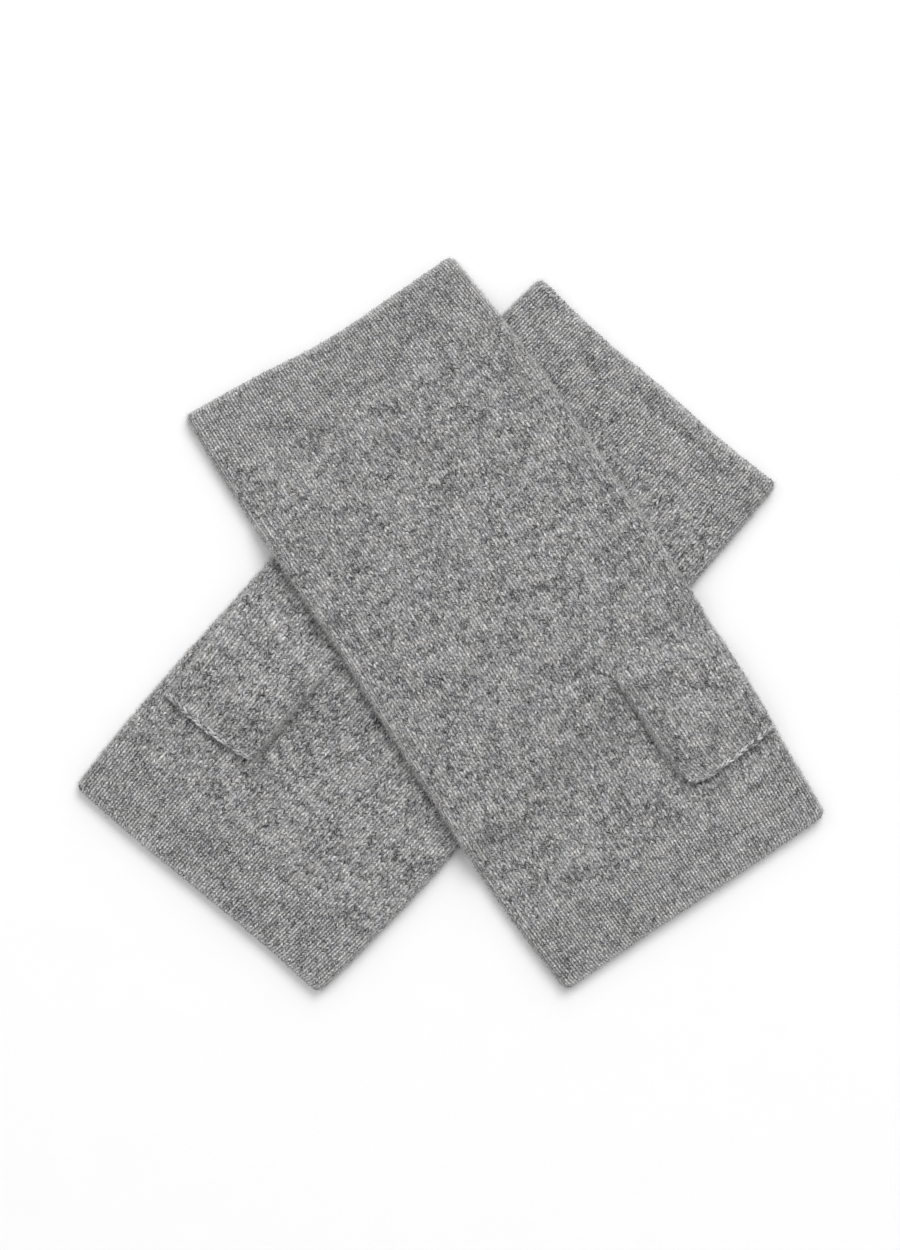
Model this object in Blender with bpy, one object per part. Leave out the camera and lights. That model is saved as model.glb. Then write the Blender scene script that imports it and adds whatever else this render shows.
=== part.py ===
"""A pair of fine-knit wrist warmers, laid flat and crossed.

Each warmer is a seamless hand tube of plain jersey, open at both ends, that lies flat as a
front layer on a back layer. A short thumb tube grows from an opening in its front and lies
folded on it, its open mouth towards the fingers. The upper warmer lies across the lower one
and eases down to the surface on both sides of it.

Metres, +Z up. The surface is z = 0 and the middle of the pair's footprint is the origin.
"""

import math
from collections import namedtuple

import bmesh
import bpy

# ---- driving dimensions ---------------------------------------------------------------
LENGTH = 0.200          # one warmer, wrist edge to finger edge
WALL = 0.0015           # one layer of knit
HOLLOW = 0.0007         # space between the layers of a hand tube
THUMB_HOLLOW = 0.0005   # the same in a thumb tube
GAP = 0.0003            # between two pieces that touch
EASE_START = 0.0006     # the upper warmer starts to come down this far past the fold below it
EASE = 0.0125           # and takes this length to reach the surface
CORNER_REACH = 0.0022   # a tube narrows over this length towards an open end ...
CORNER_NARROW = 0.0007  # ... by this much on each side
THUMB_RISE = 0.0080     # length over which a thumb rises from the hand tube
THUMB_ROOT_WALL = 0.0011
THUMB_OPENING = (0.0012, 0.0062)         # the opening under a thumb's root, past the root
THUMB_OPENING_ACROSS = (1 / 2, 5 / 6)    # and across the tube, as a share of its half width

HAND_THICKNESS = 2 * WALL + HOLLOW
THUMB_THICKNESS = 2 * WALL + THUMB_HOLLOW

# ---- outlines ---------------------------------------------------------------------------
# Edge: where the two folds of a hand tube lie, out from its centre line.
# along is 0 at the wrist edge and 1 at the finger edge.
Edge = namedtuple("Edge", "along thumb_side plain_side")
UPPER_EDGES = (
    Edge(0.00, 0.0457, 0.0465),
    Edge(0.10, 0.0475, 0.0473),
    Edge(0.20, 0.0489, 0.0476),
    Edge(0.30, 0.0494, 0.0473),
    Edge(0.40, 0.0497, 0.0472),
    Edge(0.50, 0.0502, 0.0478),
    Edge(0.60, 0.0497, 0.0483),
    Edge(0.70, 0.0492, 0.0487),
    Edge(0.80, 0.0486, 0.0491),
    Edge(0.90, 0.0473, 0.0484),
    Edge(1.00, 0.0462, 0.0469),
)
LOWER_EDGES = (
    Edge(0.00, 0.0468, 0.0465),
    Edge(0.10, 0.0480, 0.0472),
    Edge(0.25, 0.0491, 0.0480),
    Edge(0.50, 0.0499, 0.0486),
    Edge(0.70, 0.0499, 0.0489),
    Edge(0.80, 0.0497, 0.0489),
    Edge(0.90, 0.0490, 0.0482),
    Edge(1.00, 0.0477, 0.0469),
)

# End: how far the open ends reach past the nominal length.
# across is -1 at the plain fold and 1 at the thumb's fold.
End = namedtuple("End", "across wrist_front wrist_back fingers_front fingers_back")
UPPER_ENDS = (
    End(-1.0, 0.0028, 0.0028, 0.0013, 0.0013),
    End(-0.5, 0.0009, 0.0006, 0.0009, 0.0006),
    End(0.0, -0.0017, -0.0020, 0.0009, 0.0005),
    End(0.5, -0.0018, -0.0021, 0.0010, 0.0006),
    End(1.0, -0.0014, -0.0014, 0.0005, 0.0005),
)
LOWER_ENDS = (
    End(-1.0, 0.0030, 0.0030, -0.0003, -0.0003),
    End(-0.5, 0.0011, 0.0017, -0.0001, -0.0004),
    End(0.0, 0.0008, 0.0015, 0.0010, 0.0007),
    End(0.5, 0.0005, 0.0004, 0.0022, 0.0019),
    End(1.0, 0.0013, 0.0013, 0.0026, 0.0026),
)

# Thumb: the fold beside the crotch and the outer fold, out from the hand's centre line.
# along is measured from the nominal wrist edge, in metres.
Thumb = namedtuple("Thumb", "along crease outer")
UPPER_THUMB = (
    Thumb(0.128, 0.0163, 0.0494),
    Thumb(0.145, 0.0163, 0.0491),
    Thumb(0.160, 0.0163, 0.0486),
    Thumb(0.166, 0.0167, 0.0483),
    Thumb(0.172, 0.0186, 0.0477),
)
LOWER_THUMB = (
    Thumb(0.122, 0.0146, 0.0496),
    Thumb(0.140, 0.0142, 0.0481),
    Thumb(0.155, 0.0139, 0.0468),
    Thumb(0.160, 0.0142, 0.0463),
    Thumb(0.164, 0.0152, 0.0459),
)

# Line: a line across a thumb, from its crease (across -1) to its outer fold (1):
# where the thumb leaves the hand tube, and where it ends. Both from the wrist edge.
Line = namedtuple("Line", "across root mouth")
UPPER_THUMB_LINES = (
    Line(-1.0, 0.1285, 0.1700),
    Line(-0.6, 0.1296, 0.1719),
    Line(0.0, 0.1310, 0.1716),
    Line(0.6, 0.1322, 0.1710),
    Line(1.0, 0.1328, 0.1700),
)
LOWER_THUMB_LINES = (
    Line(-1.0, 0.1245, 0.1618),
    Line(-0.6, 0.1238, 0.1631),
    Line(0.0, 0.1230, 0.1642),
    Line(0.6, 0.1222, 0.1646),
    Line(1.0, 0.1215, 0.1641),
)

# Start: where a thumb's layers start, as a share of THUMB_RISE past the root.
# down is -1 on its upper layer, 0 at its folds and 1 on its lower layer.
Start = namedtuple("Start", "down share")
THUMB_STARTS = (Start(-1.0, 0.0), Start(-0.7, 0.45), Start(0.0, 0.75), Start(1.0, 1.0))

# Crease: a soft ridge (rise above 0) or trough (below 0) in the front layer.
# Its middle is along and across; turn is its direction, 0 along the tube, in degrees.
Crease = namedtuple("Crease", "along across turn length width rise")
UPPER_CREASES = (
    Crease(0.1280, 0.0250, 78, 0.040, 0.0030, -0.0005),
    Crease(0.1240, 0.0180, 80, 0.030, 0.0050, 0.0006),
    Crease(0.1130, -0.0180, 62, 0.034, 0.0060, -0.0004),
    Crease(0.1210, -0.0120, 66, 0.030, 0.0070, 0.0005),
    Crease(0.0450, 0.0120, -20, 0.060, 0.0110, 0.0006),
    Crease(0.1750, -0.0150, 30, 0.040, 0.0100, 0.0005),
)
LOWER_CREASES = (
    Crease(0.0260, 0.0050, 70, 0.050, 0.0090, 0.0004),
    Crease(0.1620, -0.0180, 24, 0.046, 0.0090, 0.0006),
    Crease(0.1780, 0.0120, -35, 0.036, 0.0080, -0.0004),
)

# Stretch: the rings of a hand tube are one step apart up to the stretch's end, from the
# wrist edge. They are close where the upper warmer comes down, and under a thumb.
Stretch = namedtuple("Stretch", "end step")
UPPER_STRETCHES = (
    Stretch(0.009, 0.0030),
    Stretch(0.046, 0.0031),
    Stretch(0.122, 0.0095),
    Stretch(0.173, 0.0030),
    Stretch(0.196, 0.0058),
)
LOWER_STRETCHES = (
    Stretch(0.040, 0.0072),
    Stretch(0.116, 0.0095),
    Stretch(0.166, 0.0050),
    Stretch(0.196, 0.0075),
)

Warmer = namedtuple("Warmer", "name x y heading hand edges ends thumb lines creases stretches")
LOWER = Warmer(
    name="under", x=-0.00685, y=-0.00395, heading=math.radians(227.8), hand=-1,
    edges=LOWER_EDGES, ends=LOWER_ENDS, thumb=LOWER_THUMB, lines=LOWER_THUMB_LINES,
    creases=LOWER_CREASES, stretches=LOWER_STRETCHES,
)
UPPER = Warmer(
    name="top", x=0.01695, y=0.00175, heading=math.radians(-56.3), hand=1,
    edges=UPPER_EDGES, ends=UPPER_ENDS, thumb=UPPER_THUMB, lines=UPPER_THUMB_LINES,
    creases=UPPER_CREASES, stretches=UPPER_STRETCHES,
)

HAND_STEPS = 12        # columns across one layer of a hand tube
THUMB_STEPS = 6
THUMB_ROWS = 14
FOLD_ANGLES = (45, 0, -45)
END_ROWS = (0.0, 0.0006, 0.0013, CORNER_REACH)   # rings close to an open end, from it
GREY = (0.28, 0.28, 0.285, 1)
ROUGHNESS = 0.95


# ---- helpers ------------------------------------------------------------------------------
def smooth(x):
    """0 below 0, 1 above 1 and a soft S between."""
    x = min(1.0, max(0.0, x))
    return x * x * (3 - 2 * x)


def read(rows, column, at):
    """A column of a table at a value of its first column, on a smooth curve through its rows."""
    keys = [row[0] for row in rows]
    values = [getattr(row, column) for row in rows]
    at = min(keys[-1], max(keys[0], at))
    i = max(k for k in range(len(keys) - 1) if keys[k] <= at)

    def tangent(k):
        low, high = max(0, k - 1), min(len(keys) - 1, k + 1)
        return (values[high] - values[low]) / (keys[high] - keys[low])

    span = keys[i + 1] - keys[i]
    f = (at - keys[i]) / span
    bend = (1 - f) * f * span * ((1 - f) * tangent(i) - f * tangent(i + 1))
    return values[i] + (values[i + 1] - values[i]) * smooth(f) + bend


def half_width(warmer, along, side):
    """Centre line to fold on one side, at a share of the length, narrowed at the open ends."""
    column = "thumb_side" if side > 0 else "plain_side"
    to_end = LENGTH * min(along, 1 - along)
    narrow = max(0.0, 1 - to_end / CORNER_REACH) ** 2 * CORNER_NARROW
    return read(warmer.edges, column, along) - narrow


def to_world(warmer, s, t):
    """World x, y of a point s along from the warmer's middle and t across, to the thumb."""
    c, n = math.cos(warmer.heading), math.sin(warmer.heading)
    return warmer.x + s * c - warmer.hand * t * n, warmer.y + s * n + warmer.hand * t * c


def to_warmer(warmer, x, y):
    """The other way round: s and t of a world point."""
    c, n = math.cos(warmer.heading), math.sin(warmer.heading)
    dx, dy = x - warmer.x, y - warmer.y
    return dx * c + dy * n, warmer.hand * (dy * c - dx * n)


def floor_under(warmer, s, t):
    """Height of what a warmer lies on: the surface, and the lower warmer under the upper."""
    if warmer is LOWER:
        return 0.0
    below_s, below_t = to_warmer(LOWER, *to_world(warmer, s, t))
    half = half_width(LOWER, 0.5 + below_s / LENGTH, below_t)
    top = HAND_THICKNESS + GAP + crease_rise(LOWER, below_s, below_t, below_t / half)
    return top * (1 - smooth((abs(below_t) - half - EASE_START) / EASE))


def crease_rise(warmer, s, t, across):
    """How far the creases lift the front layer there. They fade out at the folds."""
    if abs(across) >= 1:
        return 0.0
    total = 0.0
    for crease in warmer.creases:
        turn = math.radians(crease.turn)
        ds, dt = s + LENGTH / 2 - crease.along, t - crease.across
        lengthwise = (ds * math.cos(turn) + dt * math.sin(turn)) / (crease.length / 2)
        crosswise = (dt * math.cos(turn) - ds * math.sin(turn)) / crease.width
        total += crease.rise * math.exp(-lengthwise ** 2 - crosswise ** 2)
    return total * smooth((1 - abs(across)) * 6)


# ---- the hand tube --------------------------------------------------------------------------
def ring(steps):
    """Points round a flattened tube as (across, angle): front, thumb-side fold, back, other."""
    front = [(-1 + 2 * i / steps, 90) for i in range(steps + 1)]
    thumb_fold = [(1, angle) for angle in FOLD_ANGLES]
    back = [(-across, -90) for across, _ in front]
    plain_fold = [(-1, 180 - angle) for angle in reversed(FOLD_ANGLES)]
    return front + thumb_fold + back + plain_fold


def ends_reach(warmer, across, toward_back):
    """How far the wrist and finger ends reach, from the front layer (0) to the back (1)."""
    return tuple(
        read(warmer.ends, end + "_front", across) * (1 - toward_back)
        + read(warmer.ends, end + "_back", across) * toward_back
        for end in ("wrist", "fingers")
    )


def hand_point(warmer, skin, along, across, angle):
    """A point of the hand tube, in the warmer's own frame."""
    lift = math.sin(math.radians(angle))
    wrist, fingers = ends_reach(warmer, across, (1 - lift) / 2)
    s = (LENGTH / 2 + fingers) * along - (LENGTH / 2 + wrist) * (1 - along)
    radius = HAND_THICKNESS / 2
    bend = radius - (WALL if skin == "inner" else 0)
    t = across * (half_width(warmer, along, across) - radius)
    t += bend * math.cos(math.radians(angle))
    z = floor_under(warmer, s, t) + radius + bend * lift
    z += crease_rise(warmer, s, t, across) * max(0.0, lift)
    return s, warmer.hand * t, z


def hand_rows(warmer):
    """Shares of the length that have a ring, and those at the thumb opening's two edges."""
    rings, start = [], END_ROWS[-1]
    for stretch in warmer.stretches:
        steps = round((stretch.end - start) / stretch.step)
        rings += [start + (stretch.end - start) * i / steps for i in range(steps)]
        start = stretch.end
    rings = rings[1:]
    root = read(warmer.lines, "root", 0.0)
    opening = [root + distance for distance in THUMB_OPENING]
    clear = 0.4 * (opening[1] - opening[0])
    rings = [r for r in rings if all(abs(r - edge) > clear for edge in opening)]
    rings += opening + list(END_ROWS) + [LENGTH - distance for distance in END_ROWS]
    return sorted(r / LENGTH for r in rings), [edge / LENGTH for edge in opening]


def front_height(warmer, rows, s, t):
    """Height of the hand tube's front there, straight between two of its rings."""
    across = t / half_width(warmer, 0.5 + s / LENGTH, t)
    wrist, fingers = ends_reach(warmer, across, 0)
    long = LENGTH + wrist + fingers
    share = (s + LENGTH / 2 + wrist) / long
    after = next(i for i in range(1, len(rows)) if rows[i] >= share)
    heights = []
    for row in rows[after - 1:after + 1]:
        ring_s = row * long - LENGTH / 2 - wrist
        lift = crease_rise(warmer, ring_s, t, across)
        heights.append(floor_under(warmer, ring_s, t) + HAND_THICKNESS + lift)
    part = (share - rows[after - 1]) / (rows[after] - rows[after - 1])
    return heights[0] + (heights[1] - heights[0]) * part


# ---- the thumb tube -------------------------------------------------------------------------
def thumb_point(warmer, rows, skin, share, across, angle):
    """A point of the thumb tube; share is 0 at its root and 1 at its mouth. Its upper layer
    leaves the hand tube at the root, and its lower layer starts past the thumb opening.
    rows are the hand tube's rings, which it lies on."""
    turn, lift = math.cos(math.radians(angle)), math.sin(math.radians(angle))
    root = read(warmer.lines, "root", across)
    mouth = read(warmer.lines, "mouth", across)
    start = root + THUMB_RISE * read(THUMB_STARTS, "share", -lift)
    along = start + (mouth - start) * share
    risen = smooth((along - root) / THUMB_RISE)
    wall = THUMB_ROOT_WALL + (WALL - THUMB_ROOT_WALL) * risen
    thickness = THUMB_ROOT_WALL + (THUMB_THICKNESS - THUMB_ROOT_WALL) * risen
    radius = thickness / 2
    high, low, bend = thickness, 0.0, radius
    if skin == "inner":
        high = thickness - wall
        low = min(wall, high - THUMB_HOLLOW)
        bend = max(radius - wall, THUMB_HOLLOW / 2)

    crease, outer = (read(warmer.thumb, side, along) for side in ("crease", "outer"))
    middle, half = (crease + outer) / 2, (outer - crease) / 2
    t = middle + across * (half - radius) + bend * turn
    s = along - LENGTH / 2
    z = front_height(warmer, rows, s, t) + GAP + (high + low) / 2 + (high - low) / 2 * lift
    return s, warmer.hand * t, z


# ---- solids -----------------------------------------------------------------------------------
def tube(point, rows, columns, opening_cells=()):
    """A closed solid: an outer and an inner skin, joined at both ends and round an opening.
    point(skin, row, across, angle) places a vertex."""
    around, count = len(columns), len(rows)
    vertices = [
        point(skin, row, *column)
        for skin in ("outer", "inner") for row in rows for column in columns
    ]

    def at(skin, row, column):
        return (skin * count + row) * around + column % around

    faces = []
    for row in range(count - 1):
        for column in range(around):
            if (row, column) in opening_cells:
                continue
            corners = ((row, column), (row, column + 1), (row + 1, column + 1), (row + 1, column))
            faces.append([at(0, *corner) for corner in corners])
            faces.append([at(1, *corner) for corner in reversed(corners)])
    for column in range(around):
        for row in (0, count - 1):
            rim = (at(0, row, column), at(0, row, column + 1))
            faces.append([*rim, at(1, row, column + 1), at(1, row, column)])
    for row, column in opening_cells:
        sides = (
            ((row - 1, column), (row, column), (row, column + 1)),
            ((row + 1, column), (row + 1, column), (row + 1, column + 1)),
            ((row, column - 1), (row, column), (row + 1, column)),
            ((row, column + 1), (row, column + 1), (row + 1, column + 1)),
        )
        for beyond, a, b in sides:
            if beyond not in opening_cells:
                faces.append([at(0, *a), at(0, *b), at(1, *b), at(1, *a)])
    return vertices, faces


def heather_grey(name):
    material = bpy.data.materials.new(name)
    material.use_nodes = True
    shader = material.node_tree.nodes["Principled BSDF"]
    shader.inputs["Base Color"].default_value = GREY
    shader.inputs["Roughness"].default_value = ROUGHNESS
    shader.inputs["Metallic"].default_value = 0
    return material


def add_piece(name, parent, vertices, faces):
    mesh = bpy.data.meshes.new(name)
    mesh.from_pydata(vertices, [], faces)
    shape = bmesh.new()
    shape.from_mesh(mesh)
    bmesh.ops.triangulate(shape, faces=shape.faces, quad_method="SHORT_EDGE")
    bmesh.ops.recalc_face_normals(shape, faces=shape.faces)
    shape.to_mesh(mesh)
    shape.free()
    mesh.shade_smooth()
    mesh.set_sharp_from_angle(angle=math.radians(50))
    mesh.materials.append(heather_grey(name + "_knit"))
    piece = bpy.data.objects.new(name, mesh)
    piece.parent = parent
    bpy.context.scene.collection.objects.link(piece)


def add_warmer(warmer):
    """One warmer: an empty at its middle, turned to its heading, with its two tubes."""
    frame = bpy.data.objects.new(warmer.name + "_warmer", None)
    frame.location = (warmer.x, warmer.y, 0)
    frame.rotation_euler = (0, 0, warmer.heading)
    bpy.context.scene.collection.objects.link(frame)

    rows, opening = hand_rows(warmer)
    columns = ring(HAND_STEPS)
    first, last = (round((share + 1) / 2 * HAND_STEPS) for share in THUMB_OPENING_ACROSS)
    opening_row = rows.index(opening[0])
    opening_cells = [(opening_row, column) for column in range(first, last)]
    hand = tube(
        lambda *place: hand_point(warmer, *place), rows, columns, opening_cells
    )
    add_piece(warmer.name + "_hand", frame, *hand)

    thumb_rows = [i / THUMB_ROWS for i in range(THUMB_ROWS + 1)]
    thumb = tube(
        lambda *place: thumb_point(warmer, rows, *place), thumb_rows, ring(THUMB_STEPS)
    )
    add_piece(warmer.name + "_thumb", frame, *thumb)


def main():
    for old in list(bpy.data.objects):
        bpy.data.objects.remove(old, do_unlink=True)
    for warmer in (LOWER, UPPER):
        add_warmer(warmer)


main()
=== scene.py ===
"""Looks of a pair of fine-knit wrist warmers, laid flat and crossed.

Every stitch of the plain jersey is modelled: a lattice follows the wales and the courses of
each tube, its grooves and crests form the two legs of each stitch, and fine fibres stand off
it. The forms repeat those of the solids, with sharper creases and squarer folds. Metres, +Z
up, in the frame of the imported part.

A warmer's own frame is s along it, from its middle towards the fingers, and t across it,
towards the thumb.
"""

import math
from collections import namedtuple

import bpy
import numpy as np
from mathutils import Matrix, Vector


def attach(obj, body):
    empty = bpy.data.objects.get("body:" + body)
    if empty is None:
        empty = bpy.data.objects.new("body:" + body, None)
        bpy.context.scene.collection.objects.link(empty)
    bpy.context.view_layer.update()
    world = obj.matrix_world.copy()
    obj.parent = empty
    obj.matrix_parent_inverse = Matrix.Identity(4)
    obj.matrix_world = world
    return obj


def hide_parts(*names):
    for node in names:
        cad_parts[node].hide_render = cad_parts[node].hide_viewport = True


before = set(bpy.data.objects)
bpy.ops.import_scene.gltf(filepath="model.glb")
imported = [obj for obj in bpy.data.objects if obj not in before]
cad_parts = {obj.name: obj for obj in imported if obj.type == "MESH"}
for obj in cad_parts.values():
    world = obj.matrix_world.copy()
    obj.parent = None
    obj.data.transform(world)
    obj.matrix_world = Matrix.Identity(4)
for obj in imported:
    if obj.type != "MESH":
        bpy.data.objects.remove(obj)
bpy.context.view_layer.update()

# ---- driving dimensions, as in the solids -------------------------------------------------
LENGTH = 0.200          # one warmer, wrist edge to finger edge
WALL = 0.0015           # one layer of knit
HOLLOW = 0.0007         # space between the layers of a hand tube
THUMB_HOLLOW = 0.0005   # the same in a thumb tube
GAP = 0.0003            # between two pieces that touch
EASE_START = 0.0006     # the upper warmer starts to come down this far past the fold below it
EASE = 0.0125           # and takes this length to reach the surface
CORNER_REACH = 0.0022   # a tube narrows over this length towards an open end ...
CORNER_NARROW = 0.0007  # ... by this much on each side
THUMB_RISE = 0.0080     # length over which a thumb rises from the hand tube
THUMB_HOLE_PAST_ROOT = 0.0037       # middle of the opening under a thumb's root
THUMB_HOLE_ACROSS = (1 / 2, 5 / 6)  # its sides, as shares of the hand tube's half width
HAND_THICKNESS = 2 * WALL + HOLLOW
THUMB_THICKNESS = 2 * WALL + THUMB_HOLLOW

# ---- cut of the sheets --------------------------------------------------------------------
THUMB_LENGTH = 0.0405   # and along its front

# ---- outlines, as in the solids -----------------------------------------------------------
# Edge: where the two folds of a hand tube lie, out from its centre line.
# along is 0 at the wrist edge and 1 at the finger edge.
Edge = namedtuple("Edge", "along thumb_side plain_side")
UPPER_EDGES = (
    Edge(0.00, 0.0457, 0.0465),
    Edge(0.10, 0.0475, 0.0473),
    Edge(0.20, 0.0489, 0.0476),
    Edge(0.30, 0.0494, 0.0473),
    Edge(0.40, 0.0497, 0.0472),
    Edge(0.50, 0.0502, 0.0478),
    Edge(0.60, 0.0497, 0.0483),
    Edge(0.70, 0.0492, 0.0487),
    Edge(0.80, 0.0486, 0.0491),
    Edge(0.90, 0.0473, 0.0484),
    Edge(1.00, 0.0462, 0.0469),
)
LOWER_EDGES = (
    Edge(0.00, 0.0468, 0.0465),
    Edge(0.10, 0.0480, 0.0472),
    Edge(0.25, 0.0491, 0.0480),
    Edge(0.50, 0.0499, 0.0486),
    Edge(0.70, 0.0499, 0.0489),
    Edge(0.80, 0.0497, 0.0489),
    Edge(0.90, 0.0490, 0.0482),
    Edge(1.00, 0.0477, 0.0469),
)

# End: how far the open ends reach past the nominal length.
# across is -1 at the plain fold and 1 at the thumb's fold.
End = namedtuple("End", "across wrist_front wrist_back fingers_front fingers_back")
UPPER_ENDS = (
    End(-1.0, 0.0028, 0.0028, 0.0013, 0.0013),
    End(-0.5, 0.0009, 0.0006, 0.0009, 0.0006),
    End(0.0, -0.0017, -0.0020, 0.0009, 0.0005),
    End(0.5, -0.0018, -0.0021, 0.0010, 0.0006),
    End(1.0, -0.0014, -0.0014, 0.0005, 0.0005),
)
LOWER_ENDS = (
    End(-1.0, 0.0030, 0.0030, -0.0003, -0.0003),
    End(-0.5, 0.0011, 0.0017, -0.0001, -0.0004),
    End(0.0, 0.0008, 0.0015, 0.0010, 0.0007),
    End(0.5, 0.0005, 0.0004, 0.0022, 0.0019),
    End(1.0, 0.0013, 0.0013, 0.0026, 0.0026),
)

# Thumb: the fold beside the crotch and the outer fold, out from the hand's centre line.
# along is measured from the nominal wrist edge, in metres.
Thumb = namedtuple("Thumb", "along crease outer")
UPPER_THUMB = (
    Thumb(0.128, 0.0163, 0.0494),
    Thumb(0.145, 0.0163, 0.0491),
    Thumb(0.160, 0.0163, 0.0486),
    Thumb(0.166, 0.0167, 0.0483),
    Thumb(0.172, 0.0186, 0.0477),
)
LOWER_THUMB = (
    Thumb(0.122, 0.0146, 0.0496),
    Thumb(0.140, 0.0142, 0.0481),
    Thumb(0.155, 0.0139, 0.0468),
    Thumb(0.160, 0.0142, 0.0463),
    Thumb(0.164, 0.0152, 0.0459),
)

# Line: a line across a thumb, from its crease (across -1) to its outer fold (1):
# where the thumb leaves the hand tube, and where it ends. Both from the wrist edge.
Line = namedtuple("Line", "across root mouth")
UPPER_THUMB_LINES = (
    Line(-1.0, 0.1285, 0.1700),
    Line(-0.6, 0.1296, 0.1719),
    Line(0.0, 0.1310, 0.1716),
    Line(0.6, 0.1322, 0.1710),
    Line(1.0, 0.1328, 0.1700),
)
LOWER_THUMB_LINES = (
    Line(-1.0, 0.1245, 0.1618),
    Line(-0.6, 0.1238, 0.1631),
    Line(0.0, 0.1230, 0.1642),
    Line(0.6, 0.1222, 0.1646),
    Line(1.0, 0.1215, 0.1641),
)

# Start: where a thumb's layers start, as a share of THUMB_RISE past the root.
# down is -1 on its upper layer, 0 at its folds and 1 on its lower layer.
Start = namedtuple("Start", "down share")
THUMB_STARTS = (Start(-1.0, 0.0), Start(-0.7, 0.45), Start(0.0, 0.75), Start(1.0, 1.0))

# ---- creases ------------------------------------------------------------------------------
# Crease: a soft ridge (rise above 0) or trough (below 0) in a layer.
# Its middle is along and across; turn is its direction, 0 along the tube, in degrees.
# On the fronts, those 8 mm wide and wider are as in the solids, and the rest are sharper.
Crease = namedtuple("Crease", "along across turn length width rise")
UPPER_CREASES = (
    Crease(0.1272, 0.0110, 74, 0.020, 0.0022, -0.0016),
    Crease(0.1284, 0.0330, 82, 0.020, 0.0022, -0.0017),
    Crease(0.1108, -0.0274, 91, 0.011, 0.0017, -0.0008),
    Crease(0.1183, -0.0136, 75, 0.016, 0.0019, -0.0008),
    Crease(0.1225, -0.0180, 70, 0.036, 0.0050, 0.0004),
    Crease(0.1369, -0.0092, 77, 0.012, 0.0018, -0.0007),
    Crease(0.1000, 0.0120, 84, 0.030, 0.0032, -0.0004),
    Crease(0.0450, 0.0120, -20, 0.060, 0.0110, 0.0006),
    Crease(0.1750, -0.0150, 30, 0.040, 0.0100, 0.0005),
)
LOWER_CREASES = (
    Crease(0.0055, -0.0100, 88, 0.040, 0.0016, -0.0007),
    Crease(0.0085, -0.0250, 105, 0.018, 0.0018, -0.0007),
    Crease(0.1500, 0.0135, 0, 0.038, 0.0010, -0.0014),
    Crease(0.0260, 0.0050, 70, 0.050, 0.0090, 0.0004),
    Crease(0.1620, -0.0180, 24, 0.046, 0.0090, 0.0006),
    Crease(0.1780, 0.0120, -35, 0.036, 0.0080, -0.0004),
)
BACK_CREASES = (
    Crease(0.0520, -0.0140, 64, 0.044, 0.0060, 0.0003),
    Crease(0.1160, 0.0160, 80, 0.050, 0.0050, 0.0003),
    Crease(0.1580, -0.0060, 35, 0.036, 0.0080, 0.0002),
)

# ---- the pair -----------------------------------------------------------------------------
# Warmer: where its middle lies and its fingers point. hand is 1 with the thumb on the left
# of that way and -1 with the thumb on the right.
Warmer = namedtuple("Warmer", "name x y heading hand edges ends thumb lines creases seed")
LOWER = Warmer(
    name="under", x=-0.00685, y=-0.00395, heading=math.radians(227.8), hand=-1,
    edges=LOWER_EDGES, ends=LOWER_ENDS, thumb=LOWER_THUMB, lines=LOWER_THUMB_LINES,
    creases=LOWER_CREASES, seed=11,
)
UPPER = Warmer(
    name="top", x=0.01695, y=0.00175, heading=math.radians(-56.3), hand=1,
    edges=UPPER_EDGES, ends=UPPER_ENDS, thumb=UPPER_THUMB, lines=UPPER_THUMB_LINES,
    creases=UPPER_CREASES, seed=23,
)

# ---- the knit -----------------------------------------------------------------------------
HAND_WALES = 52         # columns of stitches on one layer of a hand tube
HAND_COURSES = 168      # rounds of stitches in a hand tube
THUMB_WALES = 18
THUMB_COURSES = 33
END_COURSES = 21        # the rounds at each end are knitted tighter ...
END_BAND = 0.0212       # ... so that this many metres take them
POINTS_ACROSS = 4       # lattice points in a stitch: groove, leg, middle, leg
POINTS_ALONG = 3
LINING_WALES = 2        # the plain inner skin has a cell for this many wales ...
LINING_COURSES = 3      # ... and this many courses
LINING_HEIGHT = 0.5     # its painted shade is halfway between that of a groove and a crest
RELIEF = 0.00046        # a leg's crest above the groove between two wales
STITCH_DROP = 0.8       # how far the V of a stitch reaches down, in courses
LEAN = 0.045            # how far a leg leans, in wales
CREST_HEIGHTS = (0.40, 1.0, 0.88)   # along a leg, as shares of RELIEF
MIDDLE_HEIGHT = 0.0     # between the two legs of a stitch
HEIGHT_SPREAD = 0.16    # from stitch to stitch
LEAN_SPREAD = 0.035
COURSE_SPREAD = 0.10
LIP = 0.0013            # an open end's rim is rounded over this length ...
LIP_DROP = 0.00045      # ... by this much
ROOT_PAINTED_SHADE = 0.4        # painted shade on a thumb's first loops, drawn into the hand tube: their heights times this,
ROOT_COURSES = 2.5      # rising to full over this many courses
LEG_SLANTS = (0, 1, -1)             # along a leg, times LEAN
V_DROPS = (0.5, 0, -0.5, 0)         # across a stitch, times STITCH_DROP
CREST_LIMITS = (0.25, 1.4)          # no crest is lower or higher than this, times RELIEF
LOOSE_FACTOR = 1.9      # stitches vary this many times as much between the tight ends,
LOOSE_FADE = 6          # which pass into the loose knit over this many courses
EDGE_SCALLOP = 0.30     # the loops at an open end stand out this far, in courses,
SCALLOP_SPREAD = 0.10   # give or take this
EDGE_SETTLE = 1.2       # and the Vs form within this many courses of the end
FOLD_WALES = 2.0        # the painted highlight on a fold reaches over this many wales ...
RIM_COURSES = 2.0       # ... and on a rim over this many courses
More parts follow.
